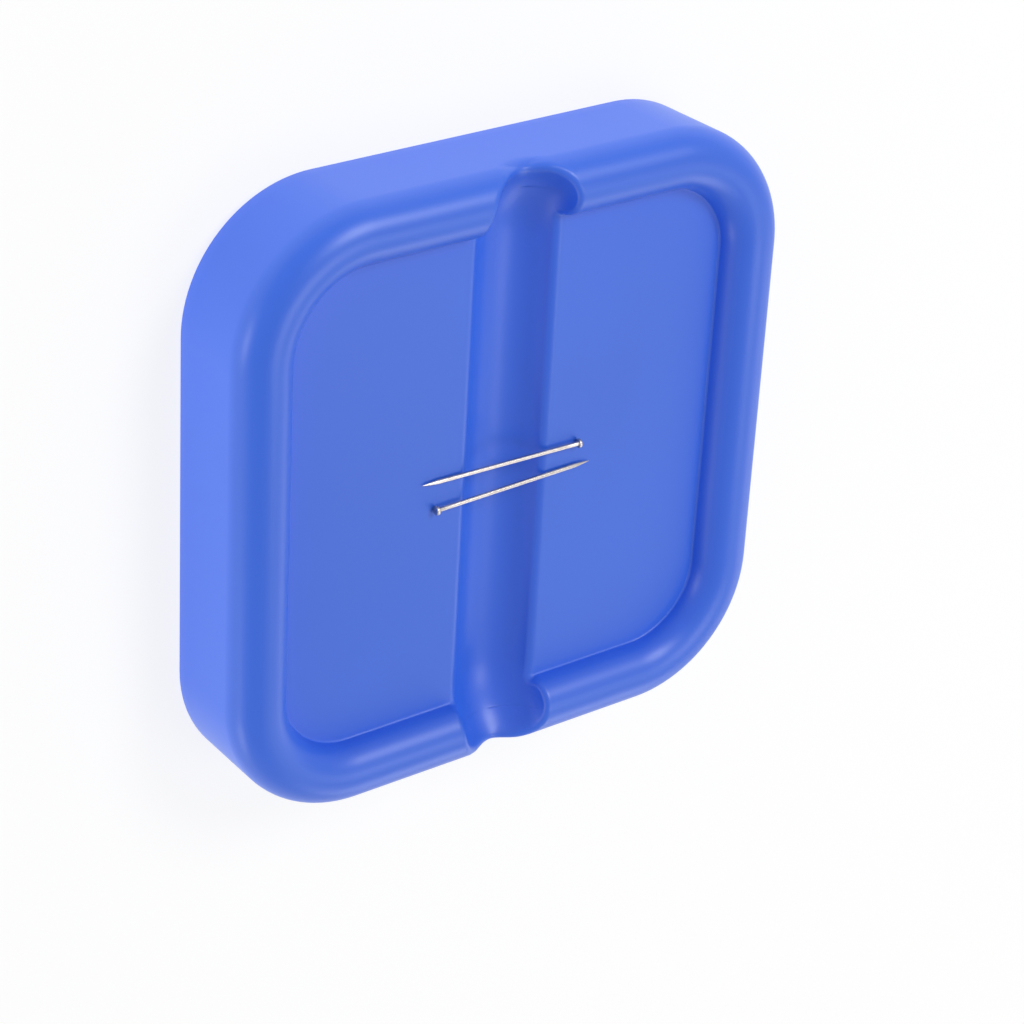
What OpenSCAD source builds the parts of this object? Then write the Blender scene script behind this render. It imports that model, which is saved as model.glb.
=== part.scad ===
// Magnetic pin bowl: a square moulded bowl with a rolled rim, a flat dish floor and a
// finger groove, closed below by a screwed cover that holds two flat magnets on a steel
// back plate against the underside of the floor. Two steel pins lie across the groove.
//
// Frame: +Z up, X across the finger groove, Y along it. The origin is at the middle of
// the bowl, on the surface that its four feet stand on.

/* [Bowl] */
// Side of the bowl at its base edge
bowl_side = 100; // [94:0.5:110]
// Plan radius of the bowl's corners at the base edge
corner_r = 22; // [20:0.5:26]
// Height of the bowl from its base edge to the crown of the rim
bowl_h = 18.85; // [17.6:0.05:24]
// How far the wall leans out between its base edge and the rim
wall_lean = 0.3; // [0.1:0.05:0.8]
// Thickness of the moulded wall, floor and rim
wall_t = 2; // [1.6:0.1:2.4]
// Bevel of the base edge
edge_bevel = 0.4; // [0.2:0.1:0.8]
// Thickness of the webs inside the hollow rim
web_t = 1.2; // [1:0.1:1.6]
// Distance of each web from the nearest middle plane
web_at = 24; // [16:0.5:26]

/* [Rim and dish] */
// Radius of the rolled rim's round section
rim_r = 5; // [4.6:0.1:5.4]
// Depth of the dish floor below the crown of the rim
dish_d = 4.75; // [4.2:0.05:4.9]

/* [Finger groove] */
// Radius of the groove's round section
groove_r = 8.2; // [7.8:0.1:8.8]
// Depth of the groove below the dish floor
groove_d = 4.65; // [4.2:0.05:4.8]
// Angle at which the groove leaves over the rim
ramp_a = 45; // [42:1:48]
// Radius of the groove's upward bend, along its bottom
bend_r = 16; // [14:0.5:18]
// How far before the foot of the rim the upward bend starts
bend_lead = 3.4; // [2.8:0.1:4]
// Radius of the rounded lip where the groove leaves the outer wall
lip_r = 1.2; // [0.8:0.1:1.4]
// How far the lip's rounding stands above the climbing groove
lip_rise = 0.05; // [0.04:0.01:0.08]

/* [Cover] */
// Thickness of the cover's plate
cover_t = 2; // [1.6:0.1:2.4]
// Distance of the cover's plate above the base edge
cover_inset = 0.4; // [0.2:0.1:0.8]
// Clearance round the cover inside the wall
cover_gap = 0.25; // [0.1:0.05:0.5]
// Thickness of the ribs that press the back plate up
rib_t = 1.5; // [1.2:0.1:2]
// Distance of the lengthways ribs from the middle plane
rib_x = 20; // [14:1:26]
// Distance of the crosswise ribs from the middle plane
rib_y = 13; // [8:1:18]

/* [Magnets] */
// Width of a magnet, across the groove
magnet_w = 20; // [16:0.5:22]
// Length of a magnet, along the groove
magnet_l = 50; // [36:1:52]
// Thickness of a magnet
magnet_t = 5; // [5:0.1:5.6]
// Clearance between a magnet and its pocket
magnet_gap = 0.3; // [0.2:0.05:0.6]
// Thickness of the pocket walls under the floor
pocket_t = 1.2; // [1:0.1:1.6]
// Depth of the pocket walls below the floor
pocket_h = 3.5; // [2:0.25:4]
// Distance between the groove's underside and the nearest pocket wall
pocket_gap = 1; // [0.6:0.1:1.6]
// Thickness of the steel back plate
plate_t = 1; // [0.8:0.1:1.5]
// Length of the steel back plate, along the groove
plate_l = 44; // [34:1:50]

/* [Screws and feet] */
// Distance of each screw and foot from the bowl's two nearest sides
screw_inset = 16.5; // [16:0.25:18]
// Diameter of the screw's shank
screw_d = 3; // [2.5:0.1:3.5]
// Length of the screw's shank
screw_l = 7; // [5.5:0.25:7.5]
// Diameter of the screw's head
head_d = 5.6; // [5:0.1:6]
// Height of the screw's head
head_h = 1.8; // [1.4:0.1:2]
// Length of each arm of the cross recess in the head
recess_l = 3.4; // [2.8:0.1:4]
// Width of the recess
recess_w = 0.9; // [0.6:0.1:1.2]
// Depth of the recess
recess_d = 1; // [0.6:0.1:1.2]
// Clearance round the screw's shank in the boss
thread_gap = 0.05; // [0.02:0.01:0.1]
// Clearance round the screw's shank in the cover, and round and below its head
head_gap = 0.2; // [0.1:0.05:0.4]
// Thickness of the cover above the screw's head
seat_t = 1.2; // [1:0.1:1.6]
// Thickness of the wall round the screw's hole in the bowl's boss
boss_t = 2; // [1.6:0.1:2.4]
// Diameter of a rubber foot
foot_d = 12; // [9:0.5:14]
// Thickness of a rubber foot
foot_t = 2.2; // [1.9:0.1:2.6]
// Depth of the recess that a foot is stuck into
foot_seat = 1; // [0.8:0.1:1.2]
// Clearance round a foot in its recess
foot_gap = 0.15; // [0.1:0.05:0.3]
// Rounding of a foot's lower edge
foot_edge = 0.5; // [0.3:0.1:0.6]

/* [Pins] */
// Length of a pin over its head
pin_l = 30; // [26:0.5:34]
// Diameter of a pin's shank
pin_d = 0.72; // [0.6:0.02:0.9]
// Diameter of a pin's flat head
pin_head_d = 1.5; // [1.3:0.05:1.8]
// Thickness of a pin's flat head
pin_head_t = 0.55; // [0.4:0.05:0.7]
// Length of a pin's point
pin_point = 3; // [2:0.25:4]
// Diameter of the blunt end of the point
pin_blunt_d = 0.12; // [0.06:0.02:0.2]
// Clearance between a pin and the dish floor
pin_gap = 0.05; // [0.02:0.01:0.1]
// Middle of the rear pin along the groove
rear_pin_y = 0.8; // [0:0.05:6]
// Middle of the front pin along the groove
front_pin_y = -3.55; // [-10:0.05:-3]
// How far the rear pin's middle lies to the right of the groove's
rear_pin_x = -0.8; // [-3:0.1:0]
// How far the front pin's middle lies to the right of the groove's
front_pin_x = 1.5; // [0:0.1:3]
// Turn of the rear pin out of square with the groove
rear_pin_turn = -0.6; // [-3:0.1:0]
// Turn of the front pin out of square with the groove
front_pin_turn = 1; // [0:0.1:2]

/* [Hidden] */
$fn = 96;

blue = [0.33, 0.47, 0.88];
cover_blue = [0.26, 0.39, 0.78];
ferrite = [0.16, 0.16, 0.17];
zinc = [0.72, 0.73, 0.75];
steel = [0.82, 0.83, 0.85];
rubber = [0.10, 0.10, 0.11];

// How far pieces that are fused run into each other
weld = 0.5;
// How far a cut runs past the face that it opens
over = 1;

// Levels, from the feet up
edge_z = foot_t - foot_seat - cover_inset;
cover_z = edge_z + cover_inset;
cover_top = cover_z + cover_t;
seat_z = cover_z + foot_seat;
head_z = seat_z + head_gap;
shank_z = head_z + head_h;
cup_top = shank_z + seat_t;
crown_z = edge_z + bowl_h;
rim_z = crown_z - rim_r;
floor_z = crown_z - dish_d;
under_z = floor_z - wall_t;
magnet_z = under_z - magnet_t;
plate_z = magnet_z - plate_t;

// Distances in plan: the section of the wall and rim is drawn from the centre of a
// corner's arc outwards, and that centre lies corner_c from both middle planes
corner_c = bowl_side / 2 - corner_r;
rim_out = corner_r + wall_lean;
rim_mid = rim_out - rim_r;
rim_in = rim_mid - rim_r;
hollow_r = rim_r - wall_t;
hollow_in = rim_mid - hollow_r;

// The groove: one round section along Y, bent upwards at both ends
groove_z = floor_z - groove_d + groove_r;
jacket_r = groove_r + wall_t;
foot_y = corner_c + rim_in;
wall_y = corner_c + rim_out;
// The bend's own axis lies above the groove, and the section's centre turns round it
bend_y = foot_y - bend_lead;
bend_z = floor_z - groove_d + bend_r;
bend_mid = bend_r - groove_r;
ramp_l = 2 * (wall_y - bend_y);

// The lip is a round ring that leads from the climbing groove over to the outer wall
lip_y = wall_y - lip_r;
ramp_low_z = bend_z - bend_r / cos(ramp_a);
lip_z = ramp_low_z + (lip_y - bend_y) * tan(ramp_a) - lip_r / cos(ramp_a) + lip_rise;
lip_start = lip_y - lip_r * sin(ramp_a);
lip_ring = (groove_r + lip_r) * cos(ramp_a);

// Magnets and their pockets
jacket_half = sqrt(pow(jacket_r, 2) - pow(groove_z - under_z, 2));
magnet_in = jacket_half + pocket_gap + pocket_t + magnet_gap;
magnet_mid = magnet_in + magnet_w / 2;

// Screws and bosses
screw_at = bowl_side / 2 - screw_inset;
pilot_r = screw_d / 2 + thread_gap;
boss_r = pilot_r + boss_t;
pilot_end = shank_z + screw_l + thread_gap + head_gap;
cup_r = head_d / 2 + head_gap + seat_t;

// The pins lie with head and shank on the floor, so they tip by this angle
pin_tip = asin((pin_head_d - pin_d) / 2 / (pin_l - pin_point - pin_head_t));

corners = [[-1, 1], [1, 1], [-1, -1], [1, -1]];

// Carries a section round the bowl: four quarter turns joined by four straight sides
module around() {
    for (i = [0 : 3])
        rotate([0, 0, 90 * i]) {
            translate([corner_c, corner_c, 0])
                rotate_extrude(angle = 90)
                    children();
            translate([corner_c, corner_c, 0])
                rotate([90, 0, 0])
                    linear_extrude(2 * corner_c)
                        children();
        }
}

// Rounded square in plan, with its corner arcs centred like the bowl's
module rounded_square(r) {
    half = corner_c + r;
    square([2 * half, 2 * corner_c], center = true);
    square([2 * corner_c, 2 * half], center = true);
    for (c = corners)
        translate([c[0] * corner_c, c[1] * corner_c])
            circle(r);
}

// Outline of the bowl's section, filled: leaning wall, rolled rim and floor
module filled_section() {
    polygon([
        [0, edge_z], [corner_r - edge_bevel, edge_z], [corner_r, edge_z + edge_bevel],
        [rim_out, rim_z], [rim_mid, rim_z + weld], [rim_in, rim_z], [rim_in, floor_z],
        [0, floor_z]
    ]);
    translate([rim_mid, rim_z])
        circle(rim_r);
}

// Outline of the space inside the section, open below
module hollow_section() {
    polygon([
        [-over, edge_z - over], [corner_r - wall_t, edge_z - over],
        [corner_r - wall_t, edge_z + edge_bevel], [rim_out - wall_t, rim_z],
        [rim_mid, rim_z + weld], [hollow_in, rim_z], [hollow_in, under_z],
        [-over, under_z]
    ]);
    translate([rim_mid, rim_z])
        circle(hollow_r);
}

module wall_section() {
    difference() {
        filled_section();
        hollow_section();
    }
}

// The groove's run with a section of radius r: level along Y, then bent up at both ends
// and straight on out over the rim
module groove_run(r) {
    rotate([90, 0, 0])
        translate([0, groove_z, -bend_y])
            linear_extrude(2 * bend_y)
                open_section(r);
    for (s = [-1, 1])
        scale_y(s)
            translate([0, bend_y, bend_z]) {
                rotate([0, 90, 0])
                    rotate_extrude(angle = ramp_a)
                        translate([bend_mid, 0])
                            rotate(90)
                                open_section(r);
                rotate([90 + ramp_a, 0, 0])
                    translate([0, -bend_mid, -ramp_l])
                        linear_extrude(ramp_l)
                            open_section(r);
            }
}

// Half round of radius r with straight sides up to near the bend's axis
module open_section(r) {
    intersection() {
        circle(r);
        translate([-r, -r])
            square([2 * r, r]);
    }
    translate([-r, 0])
        square([2 * r, bend_mid - over]);
}

// Mirrors a piece to the front when s is -1
module scale_y(s) {
    if (s > 0)
        children();
    else
        mirror([0, 1, 0])
            children();
}

// What the round lip leaves open at the outer wall
module lip_cut() {
    for (s = [-1, 1])
        scale_y(s)
            translate([0, 0, lip_z + lip_ring])
                rotate([-90, 0, 0])
                    rotate_extrude()
                        difference() {
                            translate([0, lip_start])
                                square([lip_ring, wall_y + over - lip_start]);
                            translate([lip_ring, lip_y])
                                circle(lip_r);
                        }
}

// The wall that follows the groove's underside, kept inside the bowl's outline
module groove_jacket() {
    intersection() {
        groove_run(jacket_r);
        translate([-jacket_r - over, 0, 0])
            rotate([90, 0, 90])
                linear_extrude(2 * (jacket_r + over))
                    for (m = [0, 1])
                        mirror([m, 0])
                            union() {
                                square_to_floor();
                                translate([corner_c, 0])
                                    filled_section();
                            }
    }
}

// The filled section between the middle plane and the corner arcs' centres
module square_to_floor() {
    translate([0, edge_z])
        square([corner_c, floor_z - edge_z]);
}

// Four pocket walls under the floor round one magnet
module magnet_pocket() {
    inner = [magnet_w + 2 * magnet_gap, magnet_l + 2 * magnet_gap];
    translate([0, 0, under_z - pocket_h])
        linear_extrude(pocket_h + weld)
            difference() {
                square([inner[0] + 2 * pocket_t, inner[1] + 2 * pocket_t], center = true);
                square(inner, center = true);
            }
}

// A web across the hollow rim, from the cover up to the roof of the rim
module rim_web() {
    rotate([90, 0, 0])
        linear_extrude(web_t, center = true)
            union() {
                polygon([
                    [hollow_in - weld, cover_top], [corner_r - weld, cover_top],
                    [rim_out - weld, rim_z], [hollow_in - weld, rim_z]
                ]);
                translate([rim_mid, rim_z])
                    circle(hollow_r + weld);
            }
}

module tray_shell() {
    color(blue)
        difference() {
            union() {
                around()
                    wall_section();
                translate([0, 0, under_z])
                    linear_extrude(wall_t)
                        square(2 * corner_c, center = true);
                groove_jacket();
                for (s = [-1, 1])
                    translate([s * magnet_mid, 0, 0])
                        magnet_pocket();
                for (i = [0 : 3])
                    rotate([0, 0, 90 * i])
                        for (s = [-1, 1])
                            translate([corner_c, s * web_at, 0])
                                rim_web();
                for (c = corners)
                    translate([c[0] * screw_at, c[1] * screw_at, cup_top])
                        cylinder(h = under_z + weld - cup_top, r = boss_r);
            }
            groove_run(groove_r);
            lip_cut();
            for (c = corners)
                translate([c[0] * screw_at, c[1] * screw_at, cup_top - over])
                    cylinder(h = pilot_end - cup_top + over, r = pilot_r);
        }
}

module base_cover() {
    color(cover_blue)
        difference() {
            union() {
                translate([0, 0, cover_z])
                    linear_extrude(cover_t)
                        rounded_square(corner_r - wall_t - cover_gap);
                for (c = corners)
                    translate([c[0] * screw_at, c[1] * screw_at, cover_top - weld])
                        cylinder(h = cup_top - cover_top + weld, r = cup_r);
                for (s = [-1, 1]) {
                    translate([s * rib_x, 0, 0])
                        support_rib([rib_t, plate_l]);
                    translate([0, s * rib_y, 0])
                        support_rib([2 * (magnet_mid + magnet_w / 2), rib_t]);
                }
            }
            for (c = corners)
                translate([c[0] * screw_at, c[1] * screw_at, 0])
                    cover_screw_hole();
        }
}

// A rib that stands on the cover and carries the back plate
module support_rib(size) {
    translate([0, 0, cover_top - weld])
        linear_extrude(plate_z - cover_top + weld)
            square(size, center = true);
}

// Foot recess, head recess and shank hole, one above the other
module cover_screw_hole() {
    translate([0, 0, cover_z - over])
        cylinder(h = foot_seat + over, r = foot_d / 2 + foot_gap);
    translate([0, 0, cover_z])
        cylinder(h = shank_z - cover_z, r = head_d / 2 + head_gap);
    translate([0, 0, cover_z])
        cylinder(h = cup_top + over - cover_z, r = screw_d / 2 + head_gap);
}

module magnet(s) {
    color(ferrite)
        translate([s * magnet_mid, 0, magnet_z + magnet_t / 2])
            cube([magnet_w, magnet_l, magnet_t], center = true);
}

module magnet_left() {
    magnet(-1);
}

module magnet_right() {
    magnet(1);
}

module back_plate() {
    color(zinc)
        translate([0, 0, plate_z + plate_t / 2])
            cube([2 * (magnet_mid + magnet_w / 2), plate_l, plate_t], center = true);
}

// A pan-head screw with a cross recess, driven from below
module screw(c) {
    color(zinc)
        translate([c[0] * screw_at, c[1] * screw_at, head_z])
            difference() {
                union() {
                    cylinder(h = head_h, r = head_d / 2);
                    cylinder(h = head_h + screw_l, r = screw_d / 2);
                }
                for (a = [0, 90])
                    rotate([0, 0, a])
                        translate([-recess_l / 2, -recess_w / 2, -over])
                            cube([recess_l, recess_w, recess_d + over]);
            }
}

module screw_rear_left() {
    screw(corners[0]);
}

module screw_rear_right() {
    screw(corners[1]);
}

module screw_front_left() {
    screw(corners[2]);
}

module screw_front_right() {
    screw(corners[3]);
}

// A rubber disc with a rounded lower edge
module foot(c) {
    color(rubber)
        translate([c[0] * screw_at, c[1] * screw_at, 0])
            rotate_extrude() {
                square([foot_d / 2 - foot_edge, foot_t]);
                translate([0, foot_edge])
                    square([foot_d / 2, foot_t - foot_edge]);
                translate([foot_d / 2 - foot_edge, foot_edge])
                    circle(foot_edge);
            }
}

module foot_rear_left() {
    foot(corners[0]);
}

module foot_rear_right() {
    foot(corners[1]);
}

module foot_front_left() {
    foot(corners[2]);
}

module foot_front_right() {
    foot(corners[3]);
}

// Half section of a pin, standing on its head
module pin_section() {
    round_r = pin_head_t / 2;
    point_start = pin_l - pin_point;
    square([pin_head_d / 2 - round_r, pin_head_t]);
    translate([pin_head_d / 2 - round_r, round_r])
        intersection() {
            circle(round_r);
            translate([-round_r / 2, -round_r])
                square([2 * round_r, 2 * round_r]);
        }
    square([pin_d / 2, point_start]);
    polygon([
        [0, point_start], [pin_d / 2, point_start], [pin_blunt_d / 2, pin_l], [0, pin_l]
    ]);
}

// A pin lying along X with its head towards -X, on the edge of its head and its shank
module lying_pin() {
    translate([-pin_l / 2, 0, floor_z + pin_gap + pin_head_d / 2])
        rotate([0, 90 + pin_tip, 0])
            rotate_extrude()
                pin_section();
}

module pin_rear() {
    color(steel)
        translate([rear_pin_x, rear_pin_y, 0])
            rotate([0, 0, 180 + rear_pin_turn])
                lying_pin();
}

module pin_front() {
    color(steel)
        translate([front_pin_x, front_pin_y, 0])
            rotate([0, 0, front_pin_turn])
                lying_pin();
}

tray_shell();
base_cover();
magnet_left();
magnet_right();
back_plate();
screw_rear_left();
screw_rear_right();
screw_front_left();
screw_front_right();
foot_rear_left();
foot_rear_right();
foot_front_left();
foot_front_right();
pin_rear();
pin_front();
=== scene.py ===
"""Magnetic pin bowl: a square moulded bowl with a rolled rim and a finger groove.

Metres, +Z up, X across the finger groove, Y along it, feet on the plane z = 0.
"""
import math

import bmesh
import bpy
import numpy as np
from bpy.props import FloatProperty, FloatVectorProperty, IntProperty, PointerProperty
from bpy.types import Operator, Panel, PropertyGroup
from mathutils import Euler, Matrix, Vector


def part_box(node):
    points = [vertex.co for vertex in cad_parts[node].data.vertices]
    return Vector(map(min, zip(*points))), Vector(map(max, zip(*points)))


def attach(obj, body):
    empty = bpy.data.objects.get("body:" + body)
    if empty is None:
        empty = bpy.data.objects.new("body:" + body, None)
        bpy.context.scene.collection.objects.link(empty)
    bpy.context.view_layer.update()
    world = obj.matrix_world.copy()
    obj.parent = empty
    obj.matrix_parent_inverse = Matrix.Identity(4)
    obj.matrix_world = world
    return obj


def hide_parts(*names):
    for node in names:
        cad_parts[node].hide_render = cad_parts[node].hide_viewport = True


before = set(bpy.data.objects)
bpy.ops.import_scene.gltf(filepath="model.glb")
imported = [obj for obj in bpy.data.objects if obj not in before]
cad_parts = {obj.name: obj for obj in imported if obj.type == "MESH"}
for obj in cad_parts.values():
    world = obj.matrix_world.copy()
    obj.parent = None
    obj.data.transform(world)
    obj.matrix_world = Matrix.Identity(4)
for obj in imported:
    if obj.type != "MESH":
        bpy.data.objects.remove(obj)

bl_info = {
    "name": "Magnetic Pin Bowl",
    "version": (1, 0, 0),
    "blender": (4, 5, 0),
    "location": "View3D > Sidebar > Pin Bowl",
    "description": "Square pin bowl with a finger groove, flat magnets and two steel pins",
    "category": "Object",
}

MM = 0.001
# Vertices closer than MERGE become one, and places within NEAR count as the same
MERGE = 1e-7
NEAR = 1e-6
PANEL_NAME = "Pin Bowl"

# Places of the solids that the pieces are fitted to
SHELL_LOW, SHELL_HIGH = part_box("tray_shell")
COVER_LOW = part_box("base_cover")[0]
CORNERS = ("rear_left", "rear_right", "front_left", "front_right")


def length(name, description, default, lowest=0.0, highest=0.2):
    """A size in metres that a user may change."""
    return FloatProperty(
        name=name, description=description, default=default, min=lowest, max=highest,
        precision=5, unit="LENGTH",
    )


def colour(name, description, default):
    """A linear colour that a user may change."""
    return FloatVectorProperty(
        name=name, description=description, default=default, min=0.0, max=1.0,
        size=3, subtype="COLOR",
    )


class BowlSizes(PropertyGroup):
    """Sizes of the moulded bowl and its groove."""

    corner_radius: length("Corner radius", "Plan radius of the corners at the rim", 22.3 * MM)
    wall_lean: length("Wall lean", "How far the wall leans out up to the rim", 0.3 * MM)
    base_round: length("Base edge", "Rounding of the base edge", 0.6 * MM)
    rim_radius: length("Rim radius", "Radius of the rolled rim's section", 5.0 * MM)
    dish_depth: length("Dish depth", "Depth of the floor below the rim's crown", 4.75 * MM)
    foot_fillet: length("Rim foot", "Fillet where the rim meets the floor", 0.35 * MM)
    groove_radius: length("Groove radius", "Radius of the groove's section", 8.2 * MM)
    groove_depth: length("Groove depth", "Depth of the groove below the floor", 4.65 * MM)
    ramp_angle: FloatProperty(
        name="Ramp angle", description="Climb of the groove's ends",
        default=math.radians(45), min=0.6, max=0.9, subtype="ANGLE",
    )
    bend_radius: length("Bend radius", "Radius of the bend along the groove", 16.0 * MM)
    bend_lead: length("Bend lead", "Start of the bend before the rim's foot", 3.4 * MM)
    floor_edge: length("Floor edge", "Rounding of the groove's edges at the floor", 1.7 * MM)
    rim_edge: length("Rim edge", "Rounding of the groove's edges over the rim", 1.0 * MM)


class HardwareSizes(PropertyGroup):
    """Sizes of the cover, feet, screws, magnets and pins."""

    cover_bevel: length("Cover bevel", "Bevel of the cover's visible edges", 0.25 * MM)
    foot_round: length("Foot edge", "Rounding of a foot's lower edge", 0.5 * MM)
    foot_dish: length("Foot dish", "Depth of the hollow in a foot's face", 0.12 * MM)
    magnet_chamfer: length("Magnet chamfer", "Chamfer of the magnets' edges", 0.4 * MM)
    plate_chamfer: length("Plate chamfer", "Broken edge of the back plate", 0.12 * MM)
    head_radius: length("Screw head", "Radius of a screw's head", 2.8 * MM)
    head_height: length("Head height", "Height of a screw's head", 1.8 * MM)
    recess_length: length("Recess length", "Length across a screw's cross recess", 3.4 * MM)
    recess_width: length("Recess width", "Width of the recess's arms", 0.9 * MM)
    recess_depth: length("Recess depth", "Depth of the recess", 1.0 * MM)
    thread_radius: length("Thread radius", "Outer radius of a screw's thread", 1.5 * MM)
    thread_root: length("Thread root", "Root radius of a screw's thread", 1.1 * MM)
    thread_turns: IntProperty(
        name="Thread turns", description="Turns of a screw's thread", default=5, min=2, max=12,
    )
    pin_radius: length("Pin radius", "Radius of a pin's shank", 0.36 * MM)
    pin_head_radius: length("Pin head", "Radius of a pin's head", 0.75 * MM)
    pin_head_height: length("Pin head height", "Thickness of a pin's head", 0.55 * MM)
    pin_point: length("Pin point", "Length of a pin's point", 3.0 * MM)
    pin_blunt: length("Pin tip", "Radius of a pin's tip", 0.05 * MM)


class BowlColours(PropertyGroup):
    """Colours of the finishes."""

    bowl_blue: colour("Bowl blue", "Moulded bowl", (0.0275, 0.142, 0.80))
    cover_blue: colour("Cover blue", "Base cover", (0.05, 0.11, 0.55))
    ferrite: colour("Ferrite", "Sintered magnets", (0.022, 0.022, 0.024))
    plate: colour("Plate", "Cold rolled back plate", (0.46, 0.47, 0.48))
    zinc: colour("Zinc", "Plated screws", (0.62, 0.64, 0.67))
    rubber: colour("Rubber", "Moulded feet", (0.012, 0.012, 0.013))
    nickel: colour("Nickel", "Plated pins", (0.60, 0.55, 0.52))
    floor: colour("Floor", "Studio floor", (0.8, 0.8, 0.8))


# The finishes


def node_group(name, inputs, outputs):
    """An empty shader group with its sockets, and its first and last nodes."""
    group = bpy.data.node_groups.new(name, "ShaderNodeTree")
    for label, kind, value in inputs:
        socket = group.interface.new_socket(name=label, in_out="INPUT", socket_type=kind)
        if value is not None:
            socket.default_value = value
    for label, kind in outputs:
        group.interface.new_socket(name=label, in_out="OUTPUT", socket_type=kind)
    return group, group.nodes.new("NodeGroupInput"), group.nodes.new("NodeGroupOutput")


def noise(tree, vector, scale, detail, roughness=0.5):
    """A noise texture in a tree; scale may be a number or a socket."""
    texture = tree.nodes.new("ShaderNodeTexNoise")
    texture.inputs["Detail"].default_value = detail
    texture.inputs["Roughness"].default_value = roughness
    tree.links.new(vector, texture.inputs["Vector"])
    if isinstance(scale, (int, float)):
        texture.inputs["Scale"].default_value = scale
    else:
        tree.links.new(scale, texture.inputs["Scale"])
    return texture.outputs["Fac"]


def spread(tree, value, low=0.0, high=1.0, bottom=0.0, top=1.0, smooth=False):
    """A value carried from the range low to high to the range bottom to top."""
    node = tree.nodes.new("ShaderNodeMapRange")
    if smooth:
        node.interpolation_type = "SMOOTHSTEP"
    for label, number in zip(("From Min", "From Max", "To Min", "To Max"),
                             (low, high, bottom, top)):
        if isinstance(number, (int, float)):
            node.inputs[label].default_value = number
        else:
            tree.links.new(number, node.inputs[label])
    tree.links.new(value, node.inputs["Value"])
    return node.outputs["Result"]


def moulded_skin():
    """Group: the fine skin and the slow drift in tone of moulded plastic or rubber."""
    name = "Moulded skin"
    if name in bpy.data.node_groups:
        return bpy.data.node_groups[name]
    group, start, end = node_group(
        name,
        [("Vector", "NodeSocketVector", None), ("Skin Scale", "NodeSocketFloat", 2500.0),
         ("Drift Scale", "NodeSocketFloat", 35.0)],
        [("Skin", "NodeSocketFloat"), ("Drift", "NodeSocketFloat")],
    )
    skin = noise(group, start.outputs["Vector"], start.outputs["Skin Scale"], 3.0)
    drift = noise(group, start.outputs["Vector"], start.outputs["Drift Scale"], 2.0)
    group.links.new(skin, end.inputs["Skin"])
    group.links.new(spread(group, drift, low=0.3, high=0.7), end.inputs["Drift"])
    return group


def handling_marks():
    """Group: sparse soft smudges that dull or polish a surface."""
    name = "Handling marks"
    if name in bpy.data.node_groups:
        return bpy.data.node_groups[name]
    group, start, end = node_group(
        name,
        [("Vector", "NodeSocketVector", None), ("Scale", "NodeSocketFloat", 90.0),
         ("Threshold", "NodeSocketFloat", 0.58)],
        [("Mask", "NodeSocketFloat")],
    )
    patches = noise(group, start.outputs["Vector"], start.outputs["Scale"], 4.0, 0.6)
    mask = spread(group, patches, low=start.outputs["Threshold"], high=0.8, smooth=True)
    group.links.new(mask, end.inputs["Mask"])
    return group


def drawn_lines():
    """Group: fine lines left by drawing or rolling metal, along the squeezed axis."""
    name = "Drawn lines"
    if name in bpy.data.node_groups:
        return bpy.data.node_groups[name]
    group, start, end = node_group(
        name,
        [("Vector", "NodeSocketVector", None), ("Scale", "NodeSocketFloat", 4000.0)],
        [("Lines", "NodeSocketFloat"), ("Tone", "NodeSocketFloat")],
    )
    lines = noise(group, start.outputs["Vector"], start.outputs["Scale"], 4.0, 0.7)
    group.links.new(lines, end.inputs["Lines"])
    group.links.new(spread(group, lines, low=0.35, high=0.65), end.inputs["Tone"])
    return group


def start_material(name):
    """A new material with its tree, shader and Object coordinates."""
    material = bpy.data.materials.new(name)
    material.use_nodes = True
    tree = material.node_tree
    shader = tree.nodes["Principled BSDF"]
    place = tree.nodes.new("ShaderNodeTexCoord").outputs["Object"]
    return material, tree, shader, place


def use_group(tree, group, place, **values):
    """Places a shared group in a material with its own values."""
    node = tree.nodes.new("ShaderNodeGroup")
    node.node_tree = group
    tree.links.new(place, node.inputs["Vector"])
    for label, value in values.items():
        node.inputs[label.replace("_", " ")].default_value = value
    return node.outputs


def stretched(tree, place, scale):
    """Object coordinates squeezed along one axis, for lines along it."""
    node = tree.nodes.new("ShaderNodeMapping")
    node.inputs["Scale"].default_value = scale
    tree.links.new(place, node.inputs["Vector"])
    return node.outputs["Vector"]


def shade(tree, shader, mask, dark, light):
    """Base colour that drifts between two tones."""
    mix = tree.nodes.new("ShaderNodeMix")
    mix.data_type = "RGBA"
    mix.inputs["A"].default_value = (*dark, 1.0)
    mix.inputs["B"].default_value = (*light, 1.0)
    tree.links.new(mask, mix.inputs["Factor"])
    tree.links.new(mix.outputs["Result"], shader.inputs["Base Color"])


def relief(tree, shader, height, strength, distance):
    """Fine relief from a height."""
    bump = tree.nodes.new("ShaderNodeBump")
    bump.inputs["Strength"].default_value = strength
    bump.inputs["Distance"].default_value = distance
    tree.links.new(height, bump.inputs["Height"])
    tree.links.new(bump.outputs["Normal"], shader.inputs["Normal"])


def toned(base, factor):
    """A colour made darker or lighter."""
    return tuple(min(1.0, c * factor) for c in base)


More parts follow.
